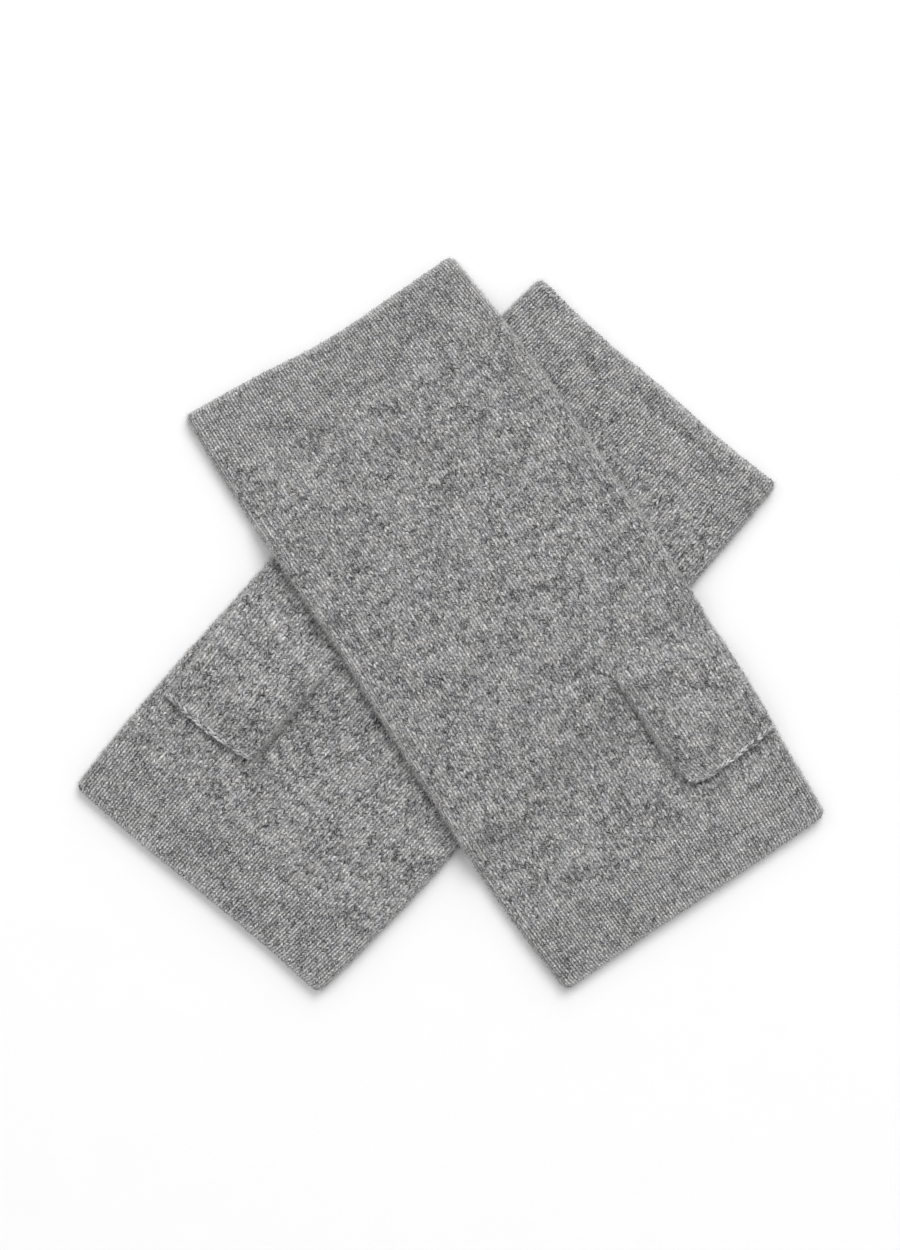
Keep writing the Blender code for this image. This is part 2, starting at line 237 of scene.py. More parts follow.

# ---- the smooth form under it -------------------------------------------------------------
WAVE = 0.00009          # soft unevenness of a layer
WAVE_COUNT = 9
WAVE_LENGTHS = (0.015, 0.045)
CREASE_FADE = 6         # creases fade out towards a fold over the half width divided by this
INNER_CLEAR = 0.0002    # a trough brings the two layers no closer than this
FOLD_SQUARE = 2.5       # a fold's section: 2 is an ellipse, and more is squarer
HAND_FOLD = 0.0013      # how far in from its edge a hand tube's fold starts to round over
THUMB_FOLD = 0.0006
ENDS_MEET_FROM = 0.96   # the end lines of the two layers pass into each other at a fold, from
ENDS_MEET_OVER = 0.08   # this share across, over this share, half of it on each layer
ROOT_SINK = 0.0003      # a thumb's root starts this far inside the hand tube's front
RISE_SHORTER = 0.7      # the layer that starts last rises over this share less of THUMB_RISE
THUMB_HALF = 0.0170     # half a thumb's width, near enough to tell its layers from its folds
THUMB_PRESSED = 0.48    # a thumb's folds and mouth are pressed thinner by this share,
PRESSED_FROM = 0.7      # from this share of the way to them
PRESSED_OVER = 0.3

# ---- the nap ------------------------------------------------------------------------------
# Nap: loose fibres of one warmer, their lengths, and how far they rise for each metre that
# they run. They start where the z of the skin's normal is within upright of 0: everywhere
# for the first kind, and only at folds and ends for the second.
Nap = namedtuple("Nap", "count shortest longest least_rise most_rise upright")
FACE_NAP = Nap(7000, 0.0009, 0.0026, 0.05, 0.5, 2.0)
FOLD_NAP = Nap(5200, 0.0006, 0.0017, 0.15, 0.9, 0.75)
NAP_SEED = 100          # added to a warmer's seed
NAP_RADIUS = 0.000026
NAP_SIDES = 3
NAP_SIZES = (0.7, 1.3)              # from fibre to fibre
NAP_TAPER = (1.0, 0.9, 0.3)         # from root to tip
NAP_CREST = 0.7         # fibres start on crests at least this high,
NAP_UNDERSIDE = -0.35   # not where the skin faces down more than this,
NAP_ROOT = 0.00012      # and this deep in the yarn
NAP_BEND = 0.35         # how far a fibre's outer half turns aside
NAP_LEVEL = 0.2         # share of its rise that the outer half keeps
NAP_FLOOR = 0.00006     # no fibre comes nearer the surface than this
SECTION_WAY = (0.31, 0.23, 0.92)    # a strand's sections are turned by this direction

# ---- the chain that ends a thumb ----------------------------------------------------------
# Row: a row of the chain's links, past the thumb's mouth and in from its outer skin.
Row = namedtuple("Row", "past inset radius")
CHAIN_ROWS = (
    Row(-0.00062, 0.00002, 0.9),
    Row(0.00000, 0.00018, 1.0),
    Row(0.00010, 0.00090, 1.1),
)
CHAIN_SEED = 200        # added to a warmer's seed
CHAIN_RADIUS = 0.00037  # the chain's yarn
CHAIN_SIZES = (0.85, 1.15)          # from link to link
CHAIN_TONES = (0.1, 0.75)
CHAIN_LINK = 1.05       # length of a link, in wales,
CHAIN_SPREAD = 0.16     # and how unevenly the links follow each other
CHAIN_SLANT = 0.00034   # how far a link slants towards the mouth,
CHAIN_SLANT_SPREAD = 0.00013        # give or take this
CHAIN_ARCH = 0.0003     # a link's ends dive this far into the rim
CHAIN_TIP = 0.12        # a link swells as a half sine does, cut off by this share at both ends
CHAIN_POINTS = 6
CHAIN_SIDES = 7

# ---- looks --------------------------------------------------------------------------------
DARK_FIBRE = (0.072, 0.073, 0.078)
MID_FIBRE = (0.474, 0.472, 0.474)
LIGHT_FIBRE = (0.82, 0.812, 0.796)
FOLD_HIGHLIGHT_COLOUR = (0.58, 0.577, 0.572)    # painted highlight along the folds and rims, where raised fibres catch the light
FIBRES = ((0.0, DARK_FIBRE), (1.0, LIGHT_FIBRE), (0.5, MID_FIBRE))

# Grain: noise that follows the knit, its detail for each wale and each course,
# and how far it moves the tone.
Grain = namedtuple("Grain", "wale course detail rough amount")
YARN = Grain(0.42, 1.1, 2.0, 0.6, 0.55)
FIBRE = Grain(3.2, 2.9, 2.0, 0.6, 2.3)
STREAK = Grain(0.16, 0.42, 1.0, 0.5, 0.40)
CLOUD_SCALE, CLOUD_AMOUNT = 150.0, 0.50
LEG_SWING, LOOSE_LEG_SWING = 0.36, 0.12     # a leg's own tone, and what loose knit adds
LEG_CELLS = (2.0, 1.0, 1.0)         # a stitch has two legs
TINT_SCALE, TINT_SHIFT = 330.0, (3.1, 5.7, 0.0)
TINTS = ((0.34, (0.98, 0.985, 1.012)), (0.66, (1.012, 1.004, 0.975)))

UV_SHIFT, PLACE_SHIFT = 7.3, 0.37   # times a warmer's seed, so that the two differ

# Painted shade from a groove (0) to a painted highlight on a crest (1), and the haze of fibres that
# softens it.
TIGHT_PAINTED_SHADE = ((0.0, (0.12, 0.12, 0.125)), (1.0, (1.31, 1.31, 1.31)))
LOOSE_PAINTED_SHADE = ((0.0, (0.19, 0.19, 0.195)), (1.0, (1.18, 1.18, 1.18)))
HAZE_SHADE = (0.77, 0.77, 0.77)
HAZE_SCALE, HAZE_SWING = 1500.0, 2.4
HAZE, LOOSE_HAZE = 0.06, 0.19               # over tight knit, and what loose knit adds
# painted highlight along the folds and rims, and how far the fibre grain breaks it up
FOLD_HIGHLIGHT, FOLD_HIGHLIGHT_SWING = 0.42, 2.0
KNIT_ROUGHNESS, ROUGHNESS_SWING = 0.88, 0.16
KNIT_BUMP = {"Strength": 0.55, "Distance": 0.00012}

BLOTCH_SCALE, BLOTCH_AMOUNT = 900.0, 0.6    # on single fibres and links
FINE_SCALE, FINE_AMOUNT = 5200.0, 1.1
YARN_BUMP = {"Strength": 0.6, "Distance": 0.0001}
SOFT_ROUGHNESS = 0.9    # of single fibres, links and paper
PAPER = (0.93, 0.93, 0.935)
PAPER_SCALE, PAPER_GRAIN = 60.0, 0.02

# ---- stage --------------------------------------------------------------------------------
VIEW_CENTRE = (-0.00015, -0.0003)
VIEW_HEIGHT = 0.3699    # metres that the picture's long side takes in
CAMERA_HEIGHT = 1.6
CLIP_END = 20           # the camera sees this far
FLOOR_HALF = 2.5
FLOOR_DROP = 0.0002     # the floor lies this far under the warmers
WORLD_LIGHT = 0.615

# Light: a round soft light that points at the origin.
Light = namedtuple("Light", "name place size power")
LIGHTS = (
    Light("key", (0.90, 2.46, 3.1), 2.7, 90),
    Light("wash", (0.75, 2.70, 1.3), 2.4, 17),
    Light("fill", (-1.7, 1.0, 1.8), 1.0, 5),
)


# ---- helpers ------------------------------------------------------------------------------
def smooth(x):
    """0 below 0, 1 above 1 and a soft S between."""
    x = np.clip(x, 0.0, 1.0)
    return x * x * (3 - 2 * x)


def read(rows, column, at):
    """A column of a table at values of its first column, on a smooth curve through its rows."""
    keys = np.array([row[0] for row in rows])
    values = np.array([getattr(row, column) for row in rows])
    at = np.clip(at, keys[0], keys[-1])
    i = np.clip(np.searchsorted(keys, at, side="right") - 1, 0, len(keys) - 2)
    low = np.maximum(np.arange(len(keys)) - 1, 0)
    high = np.minimum(np.arange(len(keys)) + 1, len(keys) - 1)
    tangent = (values[high] - values[low]) / (keys[high] - keys[low])
    span = keys[i + 1] - keys[i]
    f = (at - keys[i]) / span
    bend = (1 - f) * f * span * ((1 - f) * tangent[i] - f * tangent[i + 1])
    return values[i] + (values[i + 1] - values[i]) * smooth(f) + bend


def half_width(warmer, along, side):
    """Centre line to fold on one side, at a share of the length, narrowed at the open ends."""
    to_end = LENGTH * np.minimum(along, 1 - along)
    narrow = np.maximum(0.0, 1 - to_end / CORNER_REACH) ** 2 * CORNER_NARROW
    thumb_side = read(warmer.edges, "thumb_side", along)
    plain_side = read(warmer.edges, "plain_side", along)
    return np.where(side > 0, thumb_side, plain_side) - narrow


def to_world(warmer, s, t):
    """World x, y of a point of the warmer's own frame."""
    c, n = math.cos(warmer.heading), math.sin(warmer.heading)
    return warmer.x + s * c - warmer.hand * t * n, warmer.y + s * n + warmer.hand * t * c


def to_warmer(warmer, x, y):
    """The other way round: s and t of a world point."""
    c, n = math.cos(warmer.heading), math.sin(warmer.heading)
    dx, dy = x - warmer.x, y - warmer.y
    return dx * c + dy * n, warmer.hand * (dy * c - dx * n)


def waves(warmer, s, t):
    """Soft unevenness: a few plane waves of all directions."""
    draw = np.random.default_rng(warmer.seed)
    total = 0.0
    for _ in range(WAVE_COUNT):
        turn, shift = draw.uniform(0, math.tau, 2)
        step = math.tau / draw.uniform(*WAVE_LENGTHS)
        total = total + np.sin((s * math.cos(turn) + t * math.sin(turn)) * step + shift)
    return total * WAVE / math.sqrt(WAVE_COUNT / 2)


def creased(creases, s, t):
    """How far a table of creases lifts a layer there."""
    total = 0.0
    for crease in creases:
        turn = math.radians(crease.turn)
        ds, dt = s + LENGTH / 2 - crease.along, t - crease.across
        lengthwise = (ds * math.cos(turn) + dt * math.sin(turn)) / (crease.length / 2)
        crosswise = (dt * math.cos(turn) - ds * math.sin(turn)) / crease.width
        total = total + crease.rise * np.exp(-lengthwise ** 2 - crosswise ** 2)
    return total


def off_folds(across):
    """0 at both folds of a tube and 1 a little further in."""
    return smooth((1 - np.abs(across)) * CREASE_FADE)


def front_rise(warmer, s, t, across):
    """How far creases and unevenness lift the front layer. They fade out at the folds."""
    return (creased(warmer.creases, s, t) + waves(warmer, s, t)) * off_folds(across)


def floor_under(warmer, s, t):
    """Height of what a warmer lies on: the surface, and the lower warmer under the upper."""
    if warmer is LOWER:
        return np.zeros(np.broadcast(s, t).shape)
    below_s, below_t = to_warmer(LOWER, *to_world(warmer, s, t))
    half = half_width(LOWER, 0.5 + below_s / LENGTH, below_t)
    top = HAND_THICKNESS + GAP + front_rise(LOWER, below_s, below_t, below_t / half)
    return top * (1 - smooth((np.abs(below_t) - half - EASE_START) / EASE))


def front_height(warmer, s, t):
    """Height of a hand tube's front."""
    across = t / half_width(warmer, 0.5 + s / LENGTH, t)
    return floor_under(warmer, s, t) + HAND_THICKNESS + front_rise(warmer, s, t, across)


def placed(warmer, s, t, z):
    x, y = to_world(warmer, s, t)
    return np.stack(np.broadcast_arrays(x, y, z), axis=-1)


# ---- forms of the tubes -------------------------------------------------------------------
def round_share(around, plain, outer, radius, fold):
    """Where a share of the way round a flattened tube lies: t, lift and turn.
    around runs 0 to 1 over the front, from the fold at t = -plain to the fold at t = outer,
    and on from 1 to 2 over the back. lift is 1 on the front and -1 on the back, and
    turn is -1 and 1 at the edges of the folds, each of which reaches in by fold."""
    side = np.where(around <= 1, 1.0, -1.0)
    part = np.where(around <= 1, around, 2 - around)
    quarter = math.pi / 4 * (radius + fold)
    flat = plain + outer - 2 * fold
    arc = part * (flat + 2 * quarter)
    to_plain = np.clip(1 - arc / quarter, 0, 1) * math.pi / 2
    to_outer = np.clip((arc - quarter - flat) / quarter, 0, 1) * math.pi / 2
    turn = np.sin(to_outer) - np.sin(to_plain)
    t = np.clip(arc - quarter, 0, flat) - (plain - fold)
    lift = np.cos(to_plain + to_outer)
    swell = (np.abs(turn) ** FOLD_SQUARE + np.abs(lift) ** FOLD_SQUARE) ** (-1 / FOLD_SQUARE)
    return t, side * lift * swell, turn * swell


def hand_form(warmer, around, along, inset):
    """The hand tube's smooth form, inset from its outer skin. along may pass 0 or 1."""
    across = np.where(around <= 1, 2 * around - 1, 3 - 2 * around)
    back = np.where(around <= 1, 0.0, 1.0)
    back = back + np.where(around <= 1, 1, -1) * smooth(
        (np.abs(across) - ENDS_MEET_FROM) / ENDS_MEET_OVER
    )
    reach = {
        end: read(warmer.ends, end + "_front", across) * (1 - back)
        + read(warmer.ends, end + "_back", across) * back
        for end in ("wrist", "fingers")
    }
    s = (LENGTH / 2 + reach["fingers"]) * along - (LENGTH / 2 + reach["wrist"]) * (1 - along)
    radius = HAND_THICKNESS / 2
    plain, outer = (half_width(warmer, np.clip(along, 0, 1), side) for side in (-1, 1))
    t, lift, turn = round_share(around, plain, outer, radius, HAND_FOLD)
    t = t + turn * HAND_FOLD * (1 - inset / radius)
    z = floor_under(warmer, s, t) + radius + (radius - inset) * lift
    rise = front_rise(warmer, s, t, across)
    if inset:
        rise = np.maximum(rise, INNER_CLEAR - HOLLOW)
    z = z + rise * np.maximum(0.0, lift)
    z = z + creased(BACK_CREASES, s, t) * np.maximum(0.0, -lift) * off_folds(across)
    return placed(warmer, s, t, z)


def thumb_form(warmer, around, share, inset):
    """The thumb tube's smooth form. Its root sinks a little into the hand tube's front,
    so that the upper layer grows out of it."""
    across = np.where(around <= 1, 2 * around - 1, 3 - 2 * around)
    radius = THUMB_THICKNESS / 2
    _, lift, _ = round_share(around, THUMB_HALF, THUMB_HALF, radius, THUMB_FOLD)
    root = read(warmer.lines, "root", across)
    mouth = read(warmer.lines, "mouth", across)
    start_share = read(THUMB_STARTS, "share", -lift)
    start = root + THUMB_RISE * start_share
    along = start + (mouth - start) * share
    crease, outer = (read(warmer.thumb, side, along) for side in ("crease", "outer"))
    middle, half = (crease + outer) / 2, (outer - crease) / 2
    t, lift, turn = round_share(around, half, half, radius, THUMB_FOLD)
    t = middle + t + turn * THUMB_FOLD * (1 - inset / radius)
    s = along - LENGTH / 2
    risen = smooth((along - start) / (THUMB_RISE * (1 - RISE_SHORTER * start_share)))
    nearness = np.maximum(np.abs(across), share)
    pressed = smooth((nearness - PRESSED_FROM) / PRESSED_OVER)
    thin = 1 - THUMB_PRESSED * pressed
    full = GAP + (radius + (radius - inset) * lift) * thin
    rooted = -ROOT_SINK - inset * np.sign(lift)
    z = front_height(warmer, s, t) + rooted + (full - rooted) * risen
    return placed(warmer, s, t, z)


# ---- the knit's lattice -------------------------------------------------------------------
def from_end(course, courses):
    """Courses to the nearer end of a tube."""
    return np.minimum(course, courses - course)


def looseness(course, courses, tight):
    """0 in the tight courses at both ends of a tube and 1 between them."""
    if not tight:
        return np.ones(course.shape)
    return smooth((from_end(course, courses) - tight + LOOSE_FADE / 2) / LOOSE_FADE)


def lattice(wales, courses, tight, draw):
    """Points of a knitted tube, a row for each step along it and a column for each round it:
    their wale, their course, their height, 0 in a groove and 1 on a crest, and their stitch,
    the wale and course as if legs neither leaned nor slanted."""
    columns = np.arange(wales * POINTS_ACROSS + 1)
    rows = np.arange(courses * POINTS_ALONG + 1)[:, None]
    count = (len(rows), len(columns) - 1)
    vary = 1 + (LOOSE_FACTOR - 1) * looseness(rows / POINTS_ALONG, courses, tight)

    def spread(amount):
        values = draw.normal(0, amount, count) * vary
        return np.hstack([values, values[:, :1]])

    place = columns % POINTS_ACROSS
    crest = columns % 2 == 1
    slant = np.array(LEG_SLANTS)[rows % POINTS_ALONG] * np.where(place == 1, 1, -1)
    wale = columns / POINTS_ACROSS + crest * (slant * LEAN + spread(LEAN_SPREAD))
    course = rows / POINTS_ALONG + np.zeros(len(columns))
    fade = np.clip(from_end(course, courses) / EDGE_SETTLE, 0, 1)
    drop = np.array(V_DROPS)[place] * STITCH_DROP
    scallop = EDGE_SCALLOP + spread(SCALLOP_SPREAD)
    scallop = np.where(course < 1, -1, 1) * (1 - fade) * crest * scallop
    course = course + fade * (drop + spread(COURSE_SPREAD) / POINTS_ALONG) + scallop
    crest_height = np.array(CREST_HEIGHTS)[rows % POINTS_ALONG] * (1 + spread(HEIGHT_SPREAD))
    crest_height = np.clip(crest_height, *CREST_LIMITS)
    height = np.where(crest, crest_height, np.where(place == 2, MIDDLE_HEIGHT, 0.0))
    stitch = np.stack(
        np.broadcast_arrays(columns / POINTS_ACROSS, rows / POINTS_ALONG), axis=-1
    )
    return wale, course, height, stitch


def hand_share(course):
    """Share of a hand tube's length at a course; the courses at both ends are tighter."""
    inside = np.clip(course, 0, HAND_COURSES)
    courses = (0, END_COURSES, HAND_COURSES - END_COURSES, HAND_COURSES)
    metres = np.interp(inside, courses, (0, END_BAND, LENGTH - END_BAND, LENGTH))
    return (metres + (course - inside) * END_BAND / END_COURSES) / LENGTH


def thumb_share(course):
    """The same for a thumb tube, which is knitted evenly."""
    return course / THUMB_COURSES


def outward(points, hand):
    """Unit normals of a closed tube's lattice of points, pointing out."""
    ring = np.concatenate([points[:, -2:-1], points, points[:, 1:2]], axis=1)
    across = ring[:, 2:] - ring[:, :-2]
    normals = np.cross(np.gradient(points, axis=0), across) * hand
    return normals / np.maximum(np.linalg.norm(normals, axis=-1, keepdims=True), 1e-12)


# Knit: how a tube of a warmer is knitted. form(warmer, around, share, inset) is its shape,
# share_at(course) is the share of its length there, and tight is the number of tighter
# courses at each end.
Knit = namedtuple("Knit", "warmer form share_at layer_wales courses tight")
Skin = namedtuple("Skin", "points normals height stitch")


def knitted(knit, draw):
    """The outer skin of a tube, stitch by stitch."""
    wales = 2 * knit.layer_wales
    wale, course, height, stitch = lattice(wales, knit.courses, knit.tight, draw)
    around, share = stitch[..., 0] / knit.layer_wales, knit.share_at(stitch[..., 1])
    normals = outward(knit.form(knit.warmer, around, share, 0.0), knit.warmer.hand)
    around, share = np.mod(wale / knit.layer_wales, 2), knit.share_at(course)
    points = knit.form(knit.warmer, around, share, 0.0)
    to_end = LENGTH * np.minimum(share, 1 - share)
    lip = np.clip(1 - to_end / LIP, 0, 1) ** 2 * LIP_DROP
    sink = RELIEF * (1 - height) + lip
    points = points - normals * sink[..., None]
    points[..., 2] = np.maximum(points[..., 2], 0.0)
    return Skin(points, normals, height, stitch)


def root_painted_shade(skin):
    """A thumb's skin with painted shade on its first loops, where they are drawn into the hand
    tube: their heights, which set the painted groove shade and where fibres start, are scaled down.
    """
    shade = ROOT_PAINTED_SHADE + (1 - ROOT_PAINTED_SHADE) * smooth(skin.stitch[..., 1] / ROOT_COURSES)
    return skin._replace(height=skin.height * shade)


# ---- meshes -------------------------------------------------------------------------------
def stitch_faces(skin, first_wale, last_wale, holes):
    """Triangles of the outer skin between two wales. A groove has one point for each course
    and a leg's crest has three, so each stitch takes 16 triangles."""
    count = skin.height.shape[1]
    courses = (skin.height.shape[0] - 1) // POINTS_ALONG
    faces = []
    for groove in range(first_wale * POINTS_ACROSS, last_wale * POINTS_ACROSS + 1, 2):
        for crest in (groove - 1, groove + 1):
            if not first_wale * POINTS_ACROSS <= crest <= last_wale * POINTS_ACROSS:
                continue
            wale = min(groove, crest) // POINTS_ACROSS
            course = np.array([k for k in range(courses) if (k, wale) not in holes])
            low, high = (course * POINTS_ALONG + step for step in (0, POINTS_ALONG))
            g0, g1 = low * count + groove, high * count + groove
            c0, c1, c2, c3 = ((low + step) * count + crest for step in range(4))
            fan = [(g0, c1, c0), (g0, g1, c1), (g1, c2, c1), (g1, c3, c2)]
            if crest < groove:
                fan = [corner[::-1] for corner in fan]
            faces += [np.stack(corners, axis=1) for corners in fan]
    return np.concatenate(faces)


def cell_faces(skin, lining_at, first_wale, last_wale, holes, closed):
    """Faces of the lining's cells, and of the rims that join it to the outer skin."""
    count = skin.height.shape[1]
    courses = (skin.height.shape[0] - 1) // POINTS_ALONG
    rows = range(0, courses, LINING_COURSES)
    columns = range(first_wale, last_wale, LINING_WALES)
    cells = {(row, column) for row in rows for column in columns if (row, column) not in holes}
    wide = last_wale - first_wale
    lining, rims = [], []
    for row, column in sorted(cells):
        after_row, after_column = row + LINING_COURSES, column + LINING_WALES
        corners = (row, column), (after_row, column), (after_row, after_column), (row, after_column)
        lining.append([lining_at(*corner) for corner in reversed(corners)])
        steps = ((0, -1), (1, 0), (0, 1), (-1, 0))
        for k, (up, across) in enumerate(steps):
            beyond = (row + up * LINING_COURSES, column + across * LINING_WALES)
            if closed:
                beyond = (beyond[0], first_wale + (beyond[1] - first_wale) % wide)
            if beyond in cells:
                continue
            start, end = corners[k], corners[(k + 1) % 4]
            if start[1] == end[1]:
                way = 1 if end[0] > start[0] else -1
                outer = [
                    c * POINTS_ALONG * count + start[1] * POINTS_ACROSS
                    for c in range(start[0], end[0] + way, way)
                ]
            else:
                way = 1 if end[1] > start[1] else -1
                outer = [
                    start[0] * POINTS_ALONG * count + c
                    for c in range(start[1] * POINTS_ACROSS, end[1] * POINTS_ACROSS + way, way)
                ]
            rims.append(outer[::-1] + [lining_at(*start), lining_at(*end)])
    return lining, rims


def seam_merged(corner, skin, lining_width):
    """The corners of a closed tube's faces, with the last column of points of each skin taken
    as its first."""
    outer_size, count = skin.height.size, skin.height.shape[1]
    on_skin = corner < outer_size
    width = np.where(on_skin, count, lining_width)
    place = np.where(on_skin, corner, corner - outer_size)
    return corner - (place % width == width - 1) * (width - 1)


def faces_mesh(name, points, corner_points, faces):
    """A mesh. corner_points has the point at each corner, face after face."""
    sizes = np.array([len(face) for face in faces])
    starts = np.concatenate([[0], np.cumsum(sizes)[:-1]])
    mesh = bpy.data.meshes.new(name)
    mesh.vertices.add(len(points))
    mesh.vertices.foreach_set("co", points.astype(np.float32).ravel())
    mesh.loops.add(len(corner_points))
    mesh.loops.foreach_set("vertex_index", corner_points.astype(np.int32))
    mesh.polygons.add(len(faces))
    mesh.polygons.foreach_set("loop_start", starts.astype(np.int32))
    mesh.update(calc_edges=True)
    return mesh


def set_values(mesh, name, values):
    """A value for each point, which the materials read."""
    attribute = mesh.attributes.new(name, "FLOAT", "POINT")
    attribute.data.foreach_set("value", values.astype(np.float32))


def fold_highlight_mask(stitch, knit):
    """Where the painted highlight lies: 1 on a fold and at a rim, and 0 a few stitches away."""
    from_fold = np.mod(stitch[:, 0], knit.layer_wales)
    from_fold = np.minimum(from_fold, knit.layer_wales - from_fold)
    from_rim = from_end(stitch[:, 1], knit.courses)
    return np.maximum(smooth(1 - from_fold / FOLD_WALES), smooth(1 - from_rim / RIM_COURSES))


def knit_piece(part, knit, skin, wales, holes=()):
    """A closed shell: the stitches of an outer skin from one wale to another, a plain inner
    skin and the rims between them. holes are the cells that an opening leaves out."""
    first, last = wales
    closed = last - first == 2 * knit.layer_wales
    lining_rows = np.arange(0, knit.courses + 1, LINING_COURSES)
    lining_columns = np.arange(first, last + 1, LINING_WALES)
    course, wale = np.meshgrid(lining_rows, lining_columns, indexing="ij")
    around, share = wale / knit.layer_wales, knit.share_at(course.astype(float))
    inner = knit.form(knit.warmer, around, share, WALL)

    def lining_at(row, column):
        i, j = row // LINING_COURSES, (column - first) // LINING_WALES
        return skin.height.size + i * len(lining_columns) + j

    stitch_holes = {
        (row + i, column + j) for row, column in holes
        for i in range(LINING_COURSES) for j in range(LINING_WALES)
    }
    triangles = stitch_faces(skin, first, last, stitch_holes)
    lining, rims = cell_faces(skin, lining_at, first, last, set(holes), closed)
    faces = triangles.tolist() + lining + rims
    if knit.warmer.hand < 0:
        faces = [face[::-1] for face in faces]

    points = np.concatenate([skin.points.reshape(-1, 3), inner.reshape(-1, 3)])
    inner_stitch = np.stack([wale.ravel(), course.ravel()], axis=1)
    stitch = np.concatenate([skin.stitch.reshape(-1, 2), inner_stitch])
    height = np.concatenate([skin.height.ravel(), np.full(wale.size, LINING_HEIGHT)])
    corner = np.concatenate(faces)
    merged = seam_merged(corner, skin, len(lining_columns)) if closed else corner
    used, corner_points = np.unique(merged, return_inverse=True)
    name = knit.warmer.name + part
    mesh = faces_mesh(name, points[used], corner_points, faces)
    mesh.uv_layers.new(name="stitch").uv.foreach_set("vector", stitch[corner].ravel())
    set_values(mesh, "height", height[used])
    set_values(mesh, "loose", looseness(stitch[used, 1], knit.courses, knit.tight))
    set_values(mesh, "brushed", fold_highlight_mask(stitch[used], knit))
    soft = np.ones(len(faces), bool)
    soft[len(triangles) + len(lining):] = False
    mesh.polygons.foreach_set("use_smooth", soft)
    mesh.validate()
    return add_piece(name, mesh)


def add_piece(name, mesh):
    piece = bpy.data.objects.new(name, mesh)
    bpy.context.scene.collection.objects.link(piece)
    return piece


def strand_piece(name, paths, radii, sides, tones):
    """Closed tapering strands in one mesh: paths is strands x points x 3."""
    strands, points = radii.shape
    way = np.gradient(paths, axis=1)
    way /= np.linalg.norm(way, axis=-1, keepdims=True)
    aside = np.cross(way, np.array(SECTION_WAY))
    aside /= np.linalg.norm(aside, axis=-1, keepdims=True)
    third = np.cross(way, aside)
    turn = np.arange(sides) * math.tau / sides
    circle = (
        aside[:, :, None] * np.cos(turn)[:, None] + third[:, :, None] * np.sin(turn)[:, None]
    )
    corners = paths[:, :, None] + circle * radii[:, :, None, None]
    size = points * sides
    quads = [
        (p * sides + k, p * sides + (k + 1) % sides,
         (p + 1) * sides + (k + 1) % sides, (p + 1) * sides + k)
        for p in range(points - 1) for k in range(sides)
    ]
    caps = [tuple(range(sides))[::-1], tuple(range(size - sides, size))]
    faces = []
    for shape in (quads, caps):
        shape = np.array(shape)
        offsets = np.arange(strands)[:, None, None] * size
        faces += (shape[None] + offsets).reshape(-1, shape.shape[1]).tolist()
    mesh = bpy.data.meshes.new(name)
    mesh.from_pydata(corners.reshape(-1, 3), [], faces)
    set_values(mesh, "tone", np.repeat(tones, size))
    mesh.shade_smooth()
    mesh.update()
    return add_piece(name, mesh)


# ---- nap and chain ------------------------------------------------------------------------
def nap_paths(skins, draw, nap):
    """Loose fibres: they start inside a crest, run along the knit and lift off it a little."""
    points = np.concatenate([skin.points.reshape(-1, 3) for skin in skins])
    normals = np.concatenate([skin.normals.reshape(-1, 3) for skin in skins])
    heights = np.concatenate([skin.height.ravel() for skin in skins])
    wanted = (heights > NAP_CREST) & (normals[:, 2] > NAP_UNDERSIDE)
    wanted &= np.abs(normals[:, 2]) < nap.upright
    picked = draw.choice(np.flatnonzero(wanted), nap.count)
    root, normal = points[picked], normals[picked]
    drift = draw.normal(0, 1, (nap.count, 3))
    drift -= normal * (drift * normal).sum(axis=1, keepdims=True)
    drift /= np.linalg.norm(drift, axis=1, keepdims=True)
    half = draw.uniform(nap.shortest, nap.longest, (nap.count, 1)) * 0.5
    rise = draw.uniform(nap.least_rise, nap.most_rise, (nap.count, 1))
    bend = draw.normal(0, NAP_BEND, (nap.count, 3))
    start = root - normal * NAP_ROOT
    middle = start + (drift + normal * rise) * half
    tip = middle + (drift + bend + normal * rise * NAP_LEVEL) * half
    paths = np.stack([start, middle, tip], axis=1)
    paths[..., 2] = np.maximum(paths[..., 2], NAP_FLOOR)
    return paths


def add_nap(warmer, skins):
    """The loose fibres of one warmer. Those that stand off its folds get lighter tones, a painted
    highlight.
    """
    draw = np.random.default_rng(warmer.seed + NAP_SEED)
    paths = np.concatenate([nap_paths(skins, draw, nap) for nap in (FACE_NAP, FOLD_NAP)])
    sizes = draw.uniform(*NAP_SIZES, (len(paths), 1))
    tones = draw.uniform(0, 1, len(paths))
    # fibres at the folds and ends get lighter tones: painted highlight
    tones[FACE_NAP.count:] = 1 - tones[FACE_NAP.count:] / 2
    radii = sizes * NAP_RADIUS * np.array(NAP_TAPER)
    return strand_piece(warmer.name + "_nap", paths, radii, NAP_SIDES, tones)


